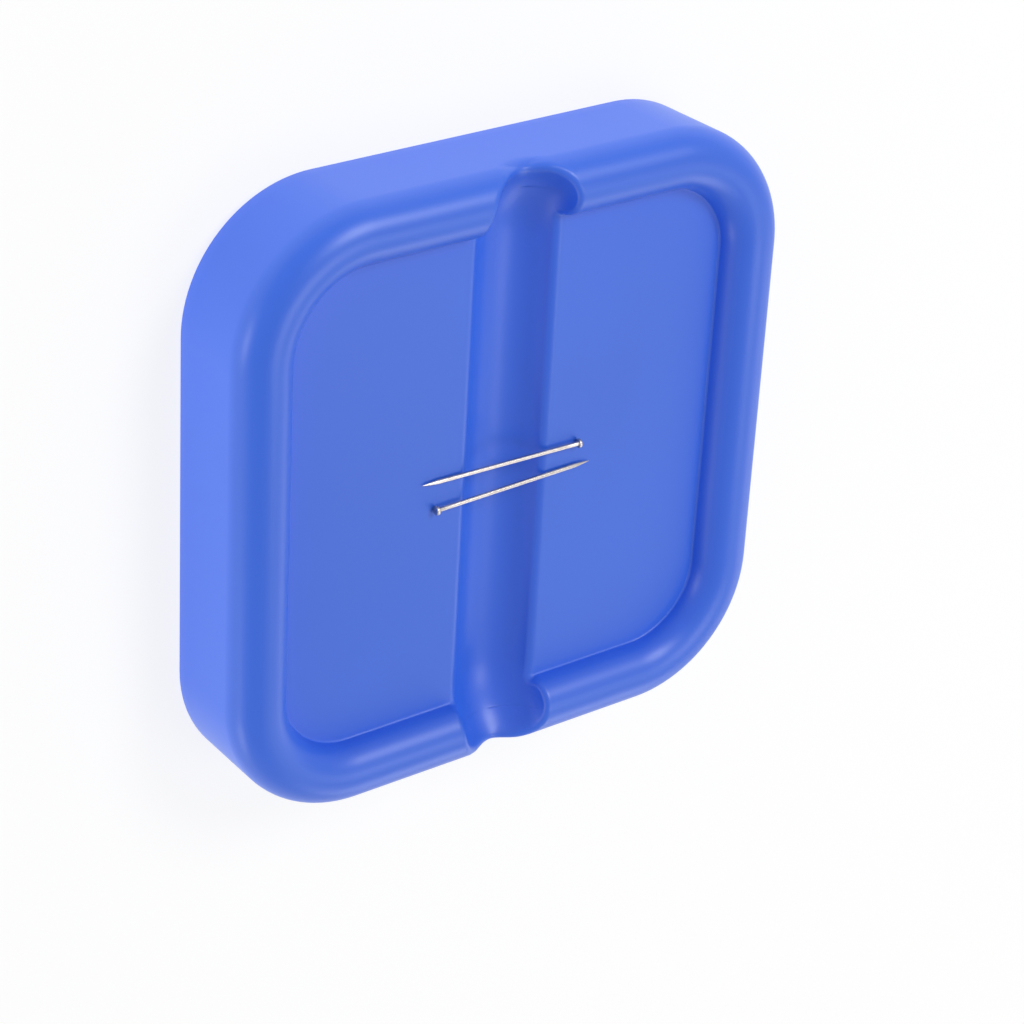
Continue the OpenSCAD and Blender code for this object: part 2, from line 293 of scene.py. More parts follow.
def plastic(name, base, rough, skin_scale, skin_depth, specular=0.5):
    """Moulded plastic: even colour, satin to semi-gloss skin and faint handling marks."""
    drift, dulling = 0.01, 0.03
    material, tree, shader, place = start_material(name)
    skin = use_group(tree, moulded_skin(), place, Skin_Scale=skin_scale, Drift_Scale=30.0)
    marks = use_group(tree, handling_marks(), place, Scale=70.0, Threshold=0.56)
    shade(tree, shader, skin["Drift"], toned(base, 0.98), toned(base, 1.02))
    rough_drift = spread(tree, skin["Drift"], bottom=rough - drift, top=rough + drift)
    dulled = tree.nodes.new("ShaderNodeMath")
    dulled.operation = "MULTIPLY_ADD"
    dulled.inputs[1].default_value = dulling
    tree.links.new(marks["Mask"], dulled.inputs[0])
    tree.links.new(rough_drift, dulled.inputs[2])
    tree.links.new(dulled.outputs[0], shader.inputs["Roughness"])
    shader.inputs["Specular IOR Level"].default_value = specular
    relief(tree, shader, skin["Skin"], strength=0.25, distance=skin_depth)
    return material


def metal(name, base, rough, line_scale, line_stretch, depth=3e-6):
    """Bare or plated steel with drawn lines and handling marks."""
    dulling = 0.12
    material, tree, shader, place = start_material(name)
    lines = use_group(tree, drawn_lines(), stretched(tree, place, line_stretch),
                      Scale=line_scale)
    marks = use_group(tree, handling_marks(), place, Scale=400.0, Threshold=0.52)
    shade(tree, shader, lines["Tone"], toned(base, 0.9), toned(base, 1.04))
    tree.links.new(spread(tree, marks["Mask"], bottom=rough, top=rough + dulling),
                   shader.inputs["Roughness"])
    shader.inputs["Metallic"].default_value = 1.0
    relief(tree, shader, lines["Lines"], strength=0.4, distance=depth)
    return material


def ferrite(name, base):
    """Sintered ferrite: dark, dull and finely pitted."""
    material, tree, shader, place = start_material(name)
    skin = use_group(tree, moulded_skin(), place, Skin_Scale=3500.0, Drift_Scale=160.0)
    shade(tree, shader, skin["Drift"], toned(base, 0.8), toned(base, 1.25))
    rough = spread(tree, skin["Skin"], low=0.3, high=0.7, bottom=0.5, top=0.65)
    tree.links.new(rough, shader.inputs["Roughness"])
    relief(tree, shader, skin["Skin"], strength=0.6, distance=2e-5)
    return material


def rubber(name, base):
    """Moulded rubber: matt with a slight bloom."""
    material, tree, shader, place = start_material(name)
    skin = use_group(tree, moulded_skin(), place, Skin_Scale=4000.0, Drift_Scale=120.0)
    bloom = use_group(tree, handling_marks(), place, Scale=260.0, Threshold=0.5)
    shade(tree, shader, bloom["Mask"], base, toned(base, 2.2))
    rough = spread(tree, skin["Drift"], bottom=0.62, top=0.74)
    tree.links.new(rough, shader.inputs["Roughness"])
    relief(tree, shader, skin["Skin"], strength=0.5, distance=1.5e-5)
    return material


def finish_for(slot):
    """The material of a record slot, built once."""
    if slot in bpy.data.materials and bpy.data.materials[slot].get("finished"):
        return bpy.data.materials[slot]
    hues = bpy.context.scene.pin_bowl_colours
    if slot in bpy.data.materials:
        bpy.data.materials[slot].name = slot + "_plain"
    if slot == "bowl_plastic":
        material = plastic(slot, hues.bowl_blue, rough=0.37, skin_scale=2200.0,
                           skin_depth=6e-6, specular=0.71)
    elif slot == "cover_plastic":
        material = plastic(slot, hues.cover_blue, rough=0.48, skin_scale=3000.0,
                           skin_depth=2e-5)
    elif slot == "magnet_ferrite":
        material = ferrite(slot, hues.ferrite)
    elif slot == "plate_steel":
        material = metal(slot, hues.plate, rough=0.34, line_scale=5000.0,
                         line_stretch=(1.0, 0.03, 1.0))
    elif slot == "screw_zinc":
        material = metal(slot, hues.zinc, rough=0.26, line_scale=3000.0,
                         line_stretch=(1.0, 1.0, 1.0))
    elif slot == "foot_rubber":
        material = rubber(slot, hues.rubber)
    else:
        material = metal(slot, hues.nickel, rough=0.24, line_scale=9000.0,
                         line_stretch=(0.04, 1.0, 1.0), depth=1e-6)
    material["finished"] = True
    return material


# The pieces


def make_piece(name, bm, slot, body, nodes, sharp=math.radians(35)):
    """Turns a finished bmesh into a piece that stands for the named solids."""
    mesh = bpy.data.meshes.new(name)
    bm.to_mesh(mesh)
    bm.free()
    for polygon in mesh.polygons:
        polygon.use_smooth = True
    mesh.set_sharp_from_angle(angle=sharp)
    mesh.materials.append(finish_for(slot))
    piece = bpy.data.objects.new(name, mesh)
    bpy.context.scene.collection.objects.link(piece)
    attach(piece, body)
    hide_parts(*nodes)
    return piece


def closed_copy(node):
    """A merged copy of a CAD node's mesh in a new bmesh."""
    bm = bmesh.new()
    bm.from_mesh(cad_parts[node].data)
    bmesh.ops.remove_doubles(bm, verts=bm.verts, dist=MERGE)
    return bm


def join(bm, other):
    """Takes another bmesh into bm and frees it."""
    holder = bpy.data.meshes.new("holder")
    other.to_mesh(holder)
    other.free()
    bm.from_mesh(holder)
    bpy.data.meshes.remove(holder)


def sweep(bm, edges, step, count):
    """Extrudes a chain of edges count times by step and gives the last chain."""
    for _ in range(count):
        made = bmesh.ops.extrude_edge_only(bm, edges=edges)["geom"]
        bmesh.ops.translate(bm, verts=[v for v in made if isinstance(v, bmesh.types.BMVert)],
                            vec=step)
        edges = [e for e in made if isinstance(e, bmesh.types.BMEdge)]
    return edges


def spun(points, centre, steps):
    """A closed body turned from a half section of (radius, height) points."""
    bm = bmesh.new()
    verts = [bm.verts.new((centre[0] + r, centre[1], centre[2] + h)) for r, h in points]
    edges = [bm.edges.new(pair) for pair in zip(verts, verts[1:])]
    bmesh.ops.spin(bm, geom=verts + edges, cent=centre, axis=(0, 0, 1), angle=math.tau,
                   steps=steps, use_merge=True)
    bmesh.ops.remove_doubles(bm, verts=bm.verts, dist=MERGE)
    bmesh.ops.recalc_face_normals(bm, faces=bm.faces)
    return bm


def arc(centre, radius, start, end, steps):
    """Points on an arc, both ends included; angles in degrees."""
    angles = np.radians(np.linspace(start, end, steps + 1))
    return [(centre[0] + radius * math.cos(a), centre[1] + radius * math.sin(a))
            for a in angles]


# The moulded bowl's outside is a distance that is negative inside the material


def round_joint(a, b, radius):
    """Inner corner of two distances, filled with a fillet."""
    outside = np.hypot(np.maximum(radius - a, 0), np.maximum(radius - b, 0))
    return np.maximum(radius, np.minimum(a, b)) - outside


def round_edge(a, b, radius):
    """Outer edge of two distances, rounded off."""
    outside = np.hypot(np.maximum(radius + a, 0), np.maximum(radius + b, 0))
    return np.minimum(-radius, np.maximum(a, b)) + outside


class BowlShape:
    """The rounded outer surface of the bowl, worked out from its sizes."""

    def __init__(self, sizes):
        self.half = SHELL_HIGH.y
        self.edge_z = SHELL_LOW.z
        self.crown_z = SHELL_HIGH.z
        self.sizes = sizes
        self.corner = self.half - sizes.corner_radius
        self.rim_mid = sizes.corner_radius - sizes.rim_radius
        self.rim_z = self.crown_z - sizes.rim_radius
        self.floor_z = self.crown_z - sizes.dish_depth
        self.rim_in = self.rim_mid - sizes.rim_radius
        self.bend_y = self.corner + self.rim_in - sizes.bend_lead
        self.bend_z = self.floor_z - sizes.groove_depth + sizes.bend_radius

    def reach(self, x, y):
        """How far a point lies out from the centres of the corner arcs."""
        dx = np.abs(x) - self.corner
        dy = np.abs(y) - self.corner
        return np.hypot(np.maximum(dx, 0), np.maximum(dy, 0)) + np.minimum(
            np.maximum(dx, dy), 0)

    def uncut(self, s, z):
        """Distance to the wall, rim and floor, before the groove is cut."""
        sizes = self.sizes
        bead = np.hypot(s - self.rim_mid, z - self.rim_z) - sizes.rim_radius
        rise = self.rim_z - self.edge_z
        lean = math.hypot(sizes.wall_lean, rise)
        wall = (s - sizes.corner_radius + sizes.wall_lean * (self.rim_z - z) / rise)
        wall = wall * rise / lean
        outer = np.minimum(bead, np.maximum(wall, z - self.rim_z))
        inner = round_joint(bead, z - self.floor_z, sizes.foot_fillet)
        return np.where(s > self.rim_mid, outer, inner)

    def groove(self, x, y, z):
        """Distance to the groove, negative in its open space."""
        sizes = self.sizes
        dy, dz = np.abs(y) - self.bend_y, self.bend_z - z
        turn = np.clip(np.arctan2(dy, dz), 0, sizes.ramp_angle)
        below = dy * np.sin(turn) + dz * np.cos(turn)
        below = np.maximum(below - sizes.bend_radius + sizes.groove_radius, 0)
        return np.hypot(x, below) - sizes.groove_radius

    def outside(self, x, y, z):
        """Distance to the finished outer surface on a straight side along X."""
        tiny, least, most = 1e-6, 0.02, 2
        rim_start = 2 * MM
        s = np.abs(y) - self.corner
        solid = self.uncut(s, z)
        cut = -self.groove(x, y, z)
        slope_s = self.uncut(s + tiny, z) - self.uncut(s - tiny, z)
        slope_z = self.uncut(s, z + tiny) - self.uncut(s, z - tiny)
        cut_y = self.groove(x, y - tiny, z) - self.groove(x, y + tiny, z)
        cut_z = self.groove(x, y, z - tiny) - self.groove(x, y, z + tiny)
        alike = (slope_s * cut_y + slope_z * cut_z) / (4 * tiny * tiny)
        # From the floor's rounding to the rim's over the first rise, and narrower where
        # both surfaces run alike, so that the radius stays true
        share = np.clip((z - self.floor_z) / rim_start, 0, 1)
        radius = self.sizes.floor_edge * (1 - share) + self.sizes.rim_edge * share
        fillet = radius * np.clip(1 - alike, least, most)
        return round_edge(solid, cut, fillet)

    def section(self):
        """Half section from the base edge over the rim to the floor, as (s, z) points."""
        sizes = self.sizes
        base_steps, bead_steps, foot_steps = 6, 60, 8
        wall_levels, fine_levels, fine_height = 6, 13, 3.6 * MM
        flat_stops = (0.25 * MM, 0.6 * MM)
        foot = sizes.corner_radius - sizes.wall_lean
        base = sizes.base_round
        points = arc((foot - base, self.edge_z + base), base, -90, 0, base_steps)
        fine = self.rim_z - fine_height
        levels = np.concatenate((np.linspace(self.edge_z + base, fine, wall_levels)[1:],
                                 np.linspace(fine, self.rim_z, fine_levels)[1:-1]))
        lean = sizes.wall_lean / (self.rim_z - self.edge_z)
        points[-1] = (foot + lean * base, self.edge_z + base)
        points += [(foot + lean * (z - self.edge_z), z) for z in levels]
        drop = self.floor_z + sizes.foot_fillet - self.rim_z
        lean_in = math.sqrt((sizes.rim_radius + sizes.foot_fillet) ** 2 - drop ** 2)
        meet = math.degrees(math.atan2(drop, -lean_in))
        points += arc((self.rim_mid, self.rim_z), sizes.rim_radius, 0, meet, bead_steps)
        centre = (self.rim_mid - lean_in, self.floor_z + sizes.foot_fillet)
        points += arc(centre, sizes.foot_fillet, meet - 180, -90, foot_steps)[1:]
        points += [(centre[0] - stop, self.floor_z) for stop in flat_stops]
        return points


def trace_rows(shape, rows, anchors, half, columns, plain):
    """Finds the surface in the plane of each row, from the middle out to x = half.

    Each row is a point (y, z) of the uncut section, and its plane holds the X axis and the
    line from the row's anchor, inside the material, to that point. Gives x, y and z with
    one line of columns + 1 points for each row, closest together on the roundings. The
    first rows, as many as plain says, lie below the groove and stay straight.
    """
    # Rays leave from a point above each row's own place, and each is halved again and again
    look, rays, halvings = 4.0 * MM, 700, 30
    # Even points along the line found, and how many of them even out its bend and spacing
    evens, bend_window, space_window = 900, 25, 61
    # Turn from one column to the next, and the widest and closest that columns stand
    column_turn, widest, closest = math.radians(6.5), 0.55 * MM, 0.1 * MM
    rows, anchors = np.array(rows), np.array(anchors)
    up = rows - anchors
    depth = np.hypot(*up.T)
    up = up / depth[:, None]
    angle = np.linspace(0, math.atan2(half, look), rays)[None, :]
    top = (depth + look)[:, None]
    near = np.zeros((len(rows), angle.size))
    far = top / np.cos(angle)
    for _ in range(halvings):
        middle = (near + far) / 2
        t = top - middle * np.cos(angle)
        y = anchors[:, :1] + t * up[:, :1]
        z = anchors[:, 1:] + t * up[:, 1:]
        inside = shape.outside(middle * np.sin(angle), y, z) < 0
        far = np.where(inside, middle, far)
        near = np.where(inside, near, middle)
    x = far * np.sin(angle)
    t = top - far * np.cos(angle)
    x[:, 0] = 0.0
    x[:, -1] = half
    t[:, -1] = depth
    places = np.zeros((3, len(rows), columns + 1))
    for i in range(len(rows)):
        step = np.hypot(np.diff(x[i]), np.diff(t[i]))
        along = np.concatenate(([0.0], np.cumsum(step)))
        even = np.linspace(0, along[-1], evens)
        ex, et = np.interp(even, along, x[i]), np.interp(even, along, t[i])
        turn = np.abs(np.diff(np.unwrap(np.arctan2(np.diff(et), np.diff(ex)))))
        turn = np.concatenate((turn[:1], turn, turn[-1:]))
        bend = np.convolve(turn, np.ones(bend_window) / bend_window, mode="same")
        bend = bend / (even[1] - even[0])
        need = np.clip(bend / column_turn, 1 / widest, 1 / closest)
        need = np.convolve(np.pad(need, space_window // 2, mode="edge"),
                           np.ones(space_window) / space_window, mode="valid")
        share = np.concatenate(([0.0], np.cumsum((need[1:] + need[:-1]) / 2)))[:len(even)]
        stops = np.interp(np.linspace(0, share[-1], columns + 1), share, even)
        places[0, i] = np.interp(stops, even, ex)
        rise = np.interp(stops, even, et)
        places[0, i, 0], places[0, i, -1], rise[-1] = 0.0, half, depth[i]
        places[1, i] = anchors[i, 0] + rise * up[i, 0]
        places[2, i] = anchors[i, 1] + rise * up[i, 1]
    places[0, :plain] = places[0, plain]
    places[1:, :plain] = rows[:plain].T[:, :, None]
    return places


def bowl_outside(shape):
    """The outer sheet of the bowl, as a bmesh that is open at the base edge."""
    bm = bmesh.new()
    row = bm.verts.layers.int.new("row")
    section = shape.section()
    corner = shape.corner
    strip_half, columns = 12.0 * MM, 52
    side_steps, corner_steps = 4, 28
    verts = [bm.verts.new((corner + s, 0, z)) for s, z in section]
    for index, vert in enumerate(verts):
        vert[row] = index
    edges = [bm.edges.new(pair) for pair in zip(verts, verts[1:])]
    edges = sweep(bm, edges, (0, corner / side_steps, 0), side_steps)
    chain = list({v for e in edges for v in e.verts})
    made = bmesh.ops.spin(bm, geom=chain + edges, cent=(corner, corner, 0), axis=(0, 0, 1),
                          angle=math.pi / 2, steps=corner_steps)["geom_last"]
    edges = [e for e in made if isinstance(e, bmesh.types.BMEdge)]
    edges = sweep(bm, edges, ((strip_half - corner) / side_steps, 0, 0), side_steps)

    # The floor's rows join the chain where the groove's strip starts; they are close at
    # the rim's foot and far apart in the middle
    row_step, row_end = 0.25 * MM, 36.0 * MM
    wide_rows = [34.5 * MM, 32 * MM, 28 * MM]
    middle_start, middle_rows = 24 * MM, 7
    last = len(section) - 1
    end = next(v for e in edges for v in e.verts if v[row] == last)
    floor_y = np.concatenate((
        np.arange(end.co.y - row_step, row_end, -row_step), wide_rows,
        np.linspace(middle_start, 0, middle_rows)))
    rows = [(corner + s, z) for s, z in section] + [(y, shape.floor_z) for y in floor_y]
    for index, y in enumerate(floor_y):
        vert = bm.verts.new((strip_half, y, shape.floor_z))
        vert[row] = last + 1 + index
        edges.append(bm.edges.new((end, vert)))
        end = vert
    sweep(bm, edges, (-strip_half / columns, 0, 0), columns)

    # Every strip vertex goes to its traced place; the anchors lie deep in the material, and
    # the rows below groove_low stay straight
    base_y, deep, groove_low = 30 * MM, Vector((46 * MM, 6 * MM)), 9 * MM
    anchors = []
    for y, _ in rows:
        share = min(1.0, max(0.0, (y - base_y) / (corner + shape.rim_in - base_y)))
        anchor_y = min(y, base_y) + share * (deep[0] - base_y)
        anchors.append((anchor_y, deep[1]))
    plain = sum(1 for _, z in section if z < groove_low)
    traced = trace_rows(shape, rows, anchors, strip_half, columns, plain)
    for vert in bm.verts:
        if vert.co.x < strip_half - NEAR and vert.co.y > -NEAR:
            column = round(vert.co.x / strip_half * columns)
            vert.co = traced[:, vert[row], column]

    # The flat floor beside the strip
    flat = corner + section[-1][0]
    start = next(v for v in bm.verts if v[row] == last and abs(v.co.y) < NEAR)
    bm.edges.new((end, start))
    border = [
        e for e in bm.edges
        if len(e.link_faces) < 2
        and all(v[row] >= last and strip_half - NEAR < v.co.x < flat + NEAR for v in e.verts)
    ]
    bmesh.ops.edgeloop_fill(bm, edges=border)
    for axis in "XY":
        bmesh.ops.mirror(bm, geom=bm.verts[:] + bm.edges[:] + bm.faces[:],
                         matrix=Matrix.Identity(4), merge_dist=MERGE, axis=axis)
    return bm


def add_bowl_inside(bm, shape):
    """Joins the CAD solid's inner faces to the outer sheet along the base ring."""
    skin_depth, base_depth = 0.9 * MM, 0.01 * MM
    inner = closed_copy("tray_shell")
    spare = []
    for face in inner.faces:
        x, y, z = face.calc_center_median()
        s = shape.reach(x, y)
        skin = max(float(shape.uncut(s, z)), -float(shape.groove(x, y, z)))
        if abs(skin) < skin_depth or z < shape.edge_z + base_depth:
            spare.append(face)
    bmesh.ops.delete(inner, geom=spare, context="FACES")
    join(bm, inner)
    ring = [e for e in bm.edges if e.is_boundary]
    bmesh.ops.triangle_fill(bm, use_beauty=True, edges=ring, normal=(0, 0, -1))
    bmesh.ops.recalc_face_normals(bm, faces=bm.faces)


class PINBOWL_OT_moulded_bowl(Operator):
    """Make the moulded bowl with its rolled rim, dish floor and finger groove"""

    bl_idname = "pin_bowl.moulded_bowl"
    bl_label = "Moulded Bowl"

    def execute(self, context):
        shape = BowlShape(context.scene.pin_bowl_sizes)
        bm = bowl_outside(shape)
        add_bowl_inside(bm, shape)
        make_piece("moulded_bowl", bm, "bowl_plastic", "bowl", ["tray_shell"])
        return {"FINISHED"}


class PINBOWL_OT_cover(Operator):
    """Make the base cover with its foot recesses, screw cups and ribs"""

    bl_idname = "pin_bowl.cover"
    bl_label = "Base Cover"

    def execute(self, context):
        sizes = context.scene.pin_bowl_hardware
        level, steep = math.radians(2), math.radians(60)
        bm = closed_copy("base_cover")
        bmesh.ops.dissolve_limit(bm, angle_limit=level, verts=bm.verts, edges=bm.edges)
        rims = [
            e for e in bm.edges
            if all(abs(v.co.z - COVER_LOW.z) < NEAR for v in e.verts)
            and e.calc_face_angle(0.0) > steep
        ]
        bmesh.ops.bevel(bm, geom=rims, offset=sizes.cover_bevel, offset_type="OFFSET",
                        affect="EDGES", segments=3, profile=0.5, material=-1)
        make_piece("cover_plate", bm, "cover_plastic", "bowl", ["base_cover"])
        return {"FINISHED"}


class PINBOWL_OT_feet(Operator):
    """Make the four rubber feet"""

    bl_idname = "pin_bowl.feet"
    bl_label = "Rubber Feet"

    def execute(self, context):
        sizes = context.scene.pin_bowl_hardware
        hollow_share, round_steps, turn_steps = 0.62, 8, 64
        edge, dish, chamfer = sizes.foot_round, sizes.foot_dish, 0.15 * MM
        for corner in CORNERS:
            node = "foot_" + corner
            low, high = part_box(node)
            middle = (low + high) / 2
            radius, height = (high.x - low.x) / 2, high.z - low.z
            hollow = radius * hollow_share
            points = [(0.0, dish), (hollow * 0.6, dish), (hollow * 0.85, dish * 0.6),
                      (hollow, 0.0), (radius - 1.6 * edge, 0.0)]
            points += arc((radius - edge, edge), edge, -90, 0, round_steps)
            points += [(radius, height - chamfer), (radius - chamfer, height), (0.0, height)]
            bm = spun(points, (middle.x, middle.y, low.z), turn_steps)
            make_piece("rubber_" + node, bm, "foot_rubber", "bowl", [node])
        return {"FINISHED"}


def lathe_on(bm, edges, points):
    """Carries a round loop about the Z axis on through (radius, height) points."""
    for r, h in points:
        made = bmesh.ops.extrude_edge_only(bm, edges=edges)["geom"]
        for vert in made:
            if isinstance(vert, bmesh.types.BMVert):
                flat = vert.co.to_2d().normalized() * r
                vert.co = (*flat, h)
        edges = [e for e in made if isinstance(e, bmesh.types.BMEdge)]
    return edges


def cross_outline(bm, half_length, half_width):
    """The closed outline of a cross recess on the plane z = 0."""
    verts = []
    for quarter in range(4):
        turn = Matrix.Rotation(quarter * math.pi / 2, 3, "Z")
        for x, y in ((half_length, -half_width), (half_length, half_width),
                     (half_width, half_width)):
            verts.append(bm.verts.new(turn @ Vector((x, y, 0.0))))
    return [bm.edges.new(pair) for pair in zip(verts, verts[1:] + verts[:1])]


def screw_body(sizes, total):
    """Domed pan head with a cross recess, and the core of the shank, head down."""
    flat_share, recess_taper, dome_rise, corner_share = 0.68, 0.72, 0.8, 0.3
    lip, neck, tip = 0.12 * MM, 0.3 * MM, 0.15 * MM
    turn_steps, dome_stops = 48, 9
    bm = bmesh.new()
    head, height, root = sizes.head_radius, sizes.head_height, sizes.thread_root
    flat = head * flat_share
    ring = bmesh.ops.create_circle(bm, segments=turn_steps, radius=flat)["verts"]
    ring = list({e for v in ring for e in v.link_edges})
    cross = cross_outline(bm, sizes.recess_length / 2, sizes.recess_width / 2)
    bmesh.ops.triangle_fill(bm, use_beauty=True, edges=ring + cross, normal=(0, 0, -1))
    made = bmesh.ops.extrude_edge_only(bm, edges=cross)["geom"]
    deep = [v for v in made if isinstance(v, bmesh.types.BMVert)]
    bmesh.ops.scale(bm, verts=deep, vec=(recess_taper, recess_taper, 1.0))
    bmesh.ops.translate(bm, verts=deep, vec=(0, 0, sizes.recess_depth))
    bmesh.ops.edgeloop_fill(bm, edges=[e for e in made if isinstance(e, bmesh.types.BMEdge)])
    dome = head - flat
    points = [(flat + dome * math.sin(a), dome * dome_rise * (1 - math.cos(a)))
              for a in np.radians(np.linspace(0, 90, dome_stops))[1:]]
    lip_corner, neck_corner = lip * corner_share, neck * corner_share
    points += [
        (head, height - lip), (head - lip_corner, height - lip_corner), (head - lip, height),
        (root + neck, height), (root + neck_corner, height + neck_corner),
        (root, height + neck), (root, total - root), (root * 0.35, total - tip),
        (root * 0.2, total),
    ]
    bmesh.ops.edgeloop_fill(bm, edges=lathe_on(bm, ring, points))
    bmesh.ops.recalc_face_normals(bm, faces=bm.faces)
    return bm


def screw_thread(sizes, start, end):
    """A helical ridge round the core of a screw, closed at both ends."""
    bm = bmesh.new()
    turns = sizes.thread_turns
    steps, bite = 24 * turns, 0.05 * MM
    pitch = (end - start) / turns
    inner, outer = sizes.thread_root - bite, sizes.thread_radius
    crest_low, crest_high, ridge_high = 0.16 * pitch, 0.2 * pitch, 0.36 * pitch
    profile = ((inner, 0.0), (outer, crest_low), (outer, crest_high), (inner, ridge_high))
    face = bm.faces.new([bm.verts.new((r, 0, start + h)) for r, h in profile])
    rise = pitch * (turns - 0.5)
    bmesh.ops.spin(bm, geom=[face], cent=(0, 0, 0), axis=(0, 0, 1), dvec=(0, 0, rise / steps),
                   angle=math.tau * turns, steps=steps)
    bmesh.ops.recalc_face_normals(bm, faces=bm.faces)
    return bm


class PINBOWL_OT_screws(Operator):
    """Make the four pan-head screws, driven from below"""

    bl_idname = "pin_bowl.screws"
    bl_label = "Cover Screws"

    def execute(self, context):
        sizes = context.scene.pin_bowl_hardware
        thread_gap, thread_end = 0.4 * MM, 0.6 * MM
        for corner in CORNERS:
            node = "screw_" + corner
            low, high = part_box(node)
            middle = (low + high) / 2
            total = high.z - low.z
            bm = screw_body(sizes, total)
            start, end = sizes.head_height + thread_gap, total - thread_end
            join(bm, screw_thread(sizes, start, end))
            bmesh.ops.translate(bm, verts=bm.verts, vec=(middle.x, middle.y, low.z))
            make_piece("pan_" + node, bm, "screw_zinc", "bowl", [node])
        return {"FINISHED"}


class PINBOWL_OT_magnets(Operator):
    """Make the two block magnets and the steel plate behind them"""

    bl_idname = "pin_bowl.magnets"
    bl_label = "Magnets and Back Plate"

    def execute(self, context):
        sizes = context.scene.pin_bowl_hardware
        blocks = (
            ("magnet_left", "block_magnet_left", "magnet_ferrite", sizes.magnet_chamfer),
            ("magnet_right", "block_magnet_right", "magnet_ferrite", sizes.magnet_chamfer),
            ("back_plate", "steel_back_plate", "plate_steel", sizes.plate_chamfer),
        )
        for node, name, slot, chamfer in blocks:
            low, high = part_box(node)
            bm = bmesh.new()
            bmesh.ops.create_cube(bm, size=1.0)
            bmesh.ops.scale(bm, verts=bm.verts, vec=high - low)
            bmesh.ops.translate(bm, verts=bm.verts, vec=(low + high) / 2)
            bmesh.ops.bevel(bm, geom=bm.edges[:], offset=chamfer, offset_type="OFFSET",
                            affect="EDGES", segments=2, profile=0.5, material=-1)
            make_piece(name, bm, slot, "bowl", [node])
        return {"FINISHED"}


def pin_axis(node):
    """The middle of a pin's head face and the middle of its tip."""
    end_depth, decimals = 0.02 * MM, 8
    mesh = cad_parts[node].data
    places = np.zeros(len(mesh.vertices) * 3)
    mesh.vertices.foreach_get("co", places)
    places = np.unique(places.reshape(-1, 3).round(decimals), axis=0)
    middle = places.mean(0)
    along = np.linalg.svd(places - middle, full_matrices=False)[2][0]
    for _ in range(3):
        depth = (places - middle) @ along
        ends = [places[depth < depth.min() + end_depth],
                places[depth > depth.max() - end_depth]]
        wide = [np.ptp(end, axis=0).max() for end in ends]
        caps = [end.min(0) / 2 + end.max(0) / 2 for end in ends]
        along = (caps[1] - caps[0]) / np.linalg.norm(caps[1] - caps[0])
    head, tip = (caps[0], caps[1]) if wide[0] > wide[1] else (caps[1], caps[0])
    return Vector(head), Vector(tip)


def pin_points(sizes, span):
    """Half section of a pin that is span long, from the middle of its head to its tip."""
    shank, blunt, flat = sizes.pin_radius, sizes.pin_blunt, sizes.pin_head_radius
    thick = sizes.pin_head_height
    edge, neck = thick * 0.36, 0.12 * MM
    upper = edge * 0.7
    crown, rise, tip = 0.004 * MM, 0.01 * MM, 0.02 * MM
    point_stops, point_power = 9, 1.35
    points = [(0.0, 0.0), (flat * 0.5, crown)]
    points += arc((flat - edge, edge + rise), edge, -90, 0, 6)
    points += arc((flat - upper, thick - upper), upper, 0, 90, 5)
    points += arc((shank + neck, thick + neck), neck, -90, -180, 4)
    points += [(shank, span * share) for share in (0.1, 0.3, 0.5, 0.7, 0.85)]
    for share in np.linspace(0, 1, point_stops)[:-1]:
        bulge = 1 - share ** point_power
        points.append((blunt + (shank - blunt) * bulge, span - sizes.pin_point * (1 - share)))
    return points + [(blunt * 0.8, span - tip), (0.0, span)]


class PINBOWL_OT_pins(Operator):
    """Make the two steel pins that lie across the groove"""

    bl_idname = "pin_bowl.pins"
    bl_label = "Steel Pins"

    def execute(self, context):
        sizes = context.scene.pin_bowl_hardware
        turn_steps = 40
        for side in ("rear", "front"):
            node = "pin_" + side
            head, tip = pin_axis(node)
            bm = spun(pin_points(sizes, (tip - head).length), (0, 0, 0), turn_steps)
            turn = Vector((0, 0, 1)).rotation_difference(tip - head).to_matrix().to_4x4()
            bmesh.ops.transform(bm, matrix=Matrix.Translation(head) @ turn, verts=bm.verts)
            make_piece("steel_" + node, bm, "pin_steel", node, [node],
                       sharp=math.radians(50))
        return {"FINISHED"}


# The studio


# The camera looks at TARGET; the roll turns its picture, and the sensor is in millimetres
TARGET = (1.05 * MM, -7.79 * MM, 16.13 * MM)
CAMERA_AZIMUTH, CAMERA_ELEVATION, CAMERA_ROLL = 229.232, 43.859, 124.198
CAMERA_DISTANCE = 500.95 * MM
CAMERA_LENS, CAMERA_SENSOR = 113.39, 36.0

# Soft lamps: name, azimuth, elevation, width, height, strength
LAMPS = (
    ("rear_key", 150.0, 50.0, 0.42, 0.42, 3.35),
    ("right_top", 60.0, 68.0, 0.42, 0.42, 1.22),
    ("right_high", 60.0, 50.0, 0.42, 0.42, 0.15),
    ("right_low", 60.0, 20.0, 0.42, 0.42, 0.41),
    ("front_right_low", 30.0, 20.0, 0.42, 0.42, 0.80),
    ("front_left_strip", 315.0, 6.5, 0.42, 0.21, 0.80),
    ("left_strip", 270.0, 6.5, 0.42, 0.21, 1.25),
)
LAMP_DISTANCE = 1.0
WORLD_FILL = 0.47
# Light that the floor gives off by itself, as a lit table does, how white it is seen, and
# the part of its tone that takes shadows
FLOOR_GLOW = 0.83
FLOOR_SEEN = 0.83
FLOOR_SHADED = 0.2
FLOOR_RADIUS = 2.0


def facing(azimuth, elevation):
    """Direction from the bowl towards a compass direction; azimuth 0 is the front."""
    a, e = math.radians(azimuth), math.radians(elevation)
    return Vector((math.sin(a) * math.cos(e), -math.cos(a) * math.cos(e), math.sin(e)))


